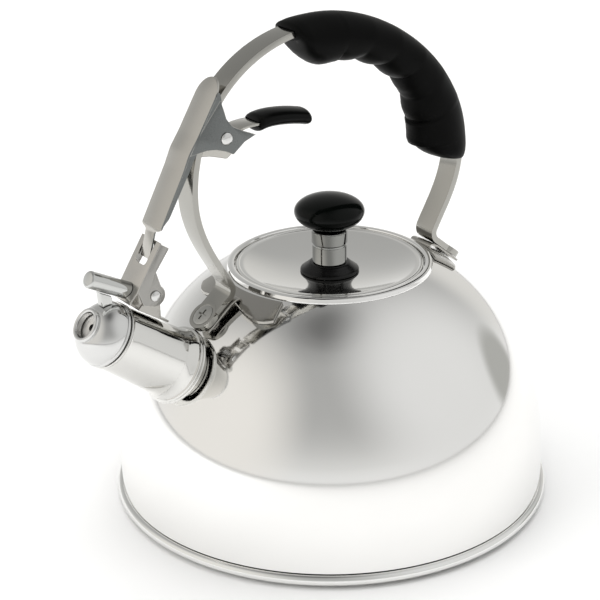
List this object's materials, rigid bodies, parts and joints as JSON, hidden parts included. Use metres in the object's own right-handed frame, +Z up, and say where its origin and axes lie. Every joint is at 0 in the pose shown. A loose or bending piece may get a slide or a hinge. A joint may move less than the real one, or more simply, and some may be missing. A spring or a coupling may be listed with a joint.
{
  "type": "stovetop whistling kettle",
  "caption": "Domed steel stovetop kettle with an arched handle, squeeze trigger, flip-up whistle cap on a slanted spout and a lift-off lid with a round knob.",
  "frame": {"origin": "on the floor plane under the middle of the body", "axes": "+Z up, the spout points along -X and the handle lies in the XZ plane"},
  "size_m": [0.252, 0.22, 0.2461],
  "materials": {
    "polished_steel": "mirror polished stainless steel",
    "brushed_steel": "satin brushed stainless steel",
    "chrome": "bright chrome plate",
    "aluminium": "plain rolled aluminium",
    "brass": "turned brass",
    "black_grip": "satin black heat-resistant plastic",
    "black_knob": "glossy black phenolic",
    "seal_silicone": "matte grey silicone"
  },
  "bodies": {
    "kettle_body": {"base_cover": "polished_steel", "heat_disc": "aluminium", "base_pan": "polished_steel", "body_shell": "polished_steel", "opening_ring": "polished_steel", "spout_neck": "polished_steel", "spout_sleeve": "polished_steel", "spout_seat_tube": "polished_steel", "cap_post": "brushed_steel", "cap_rivet": "chrome", "cap_spring": "polished_steel", "handle_strip": "brushed_steel", "handle_grip": "black_grip", "front_bracket": "brushed_steel", "rear_bracket": "brushed_steel", "front_foot_nut": "polished_steel", "rear_foot_nut": "polished_steel", "front_foot_screw": "polished_steel", "rear_foot_screw": "polished_steel", "trigger_hanger": "brushed_steel", "trigger_rivet": "chrome"},
    "trigger": {"trigger_channel": "brushed_steel", "thumb_lever": "brushed_steel", "thumb_pad": "black_grip"},
    "cap": {"cap_lever": "brushed_steel", "cap_dome": "chrome", "whistle_front_plate": "brushed_steel", "whistle_rear_plate": "brushed_steel", "cap_seal": "seal_silicone", "thumb_bar": "chrome", "bar_lug": "chrome"},
    "lid_group": {"lid": "polished_steel", "lid_plug_ring": "polished_steel", "heat_collar": "black_knob", "knob_ferrule": "chrome", "knob": "black_knob", "knob_insert": "brass", "knob_washer": "polished_steel", "knob_screw": "polished_steel"}
  },
  "joints": [
    {"name": "trigger_squeeze", "type": "hinge", "parent": "kettle_body", "child": "trigger", "pos_m": [-0.0633, 0, 0.19791], "axis": [0, -1, 0], "range_deg": [0, 14], "stiffness_Nm_per_rad": 0.6},
    {"name": "cap_open", "type": "hinge", "parent": "kettle_body", "child": "cap", "pos_m": [-0.10444, 0, 0.13083], "axis": [0, 1, 0], "range_deg": [0, 34], "stiffness_Nm_per_rad": 0.25, "deforming": ["cap_spring"]},
    {"name": "lid_lift", "type": "slide", "parent": "kettle_body", "child": "lid_group", "axis": [0, 0, 1], "range_m": [0, 0.03]}
  ],
  "couplings": [
    {"joint": "cap_open", "follows": "trigger_squeeze", "ratio": 2.4}
  ]
}
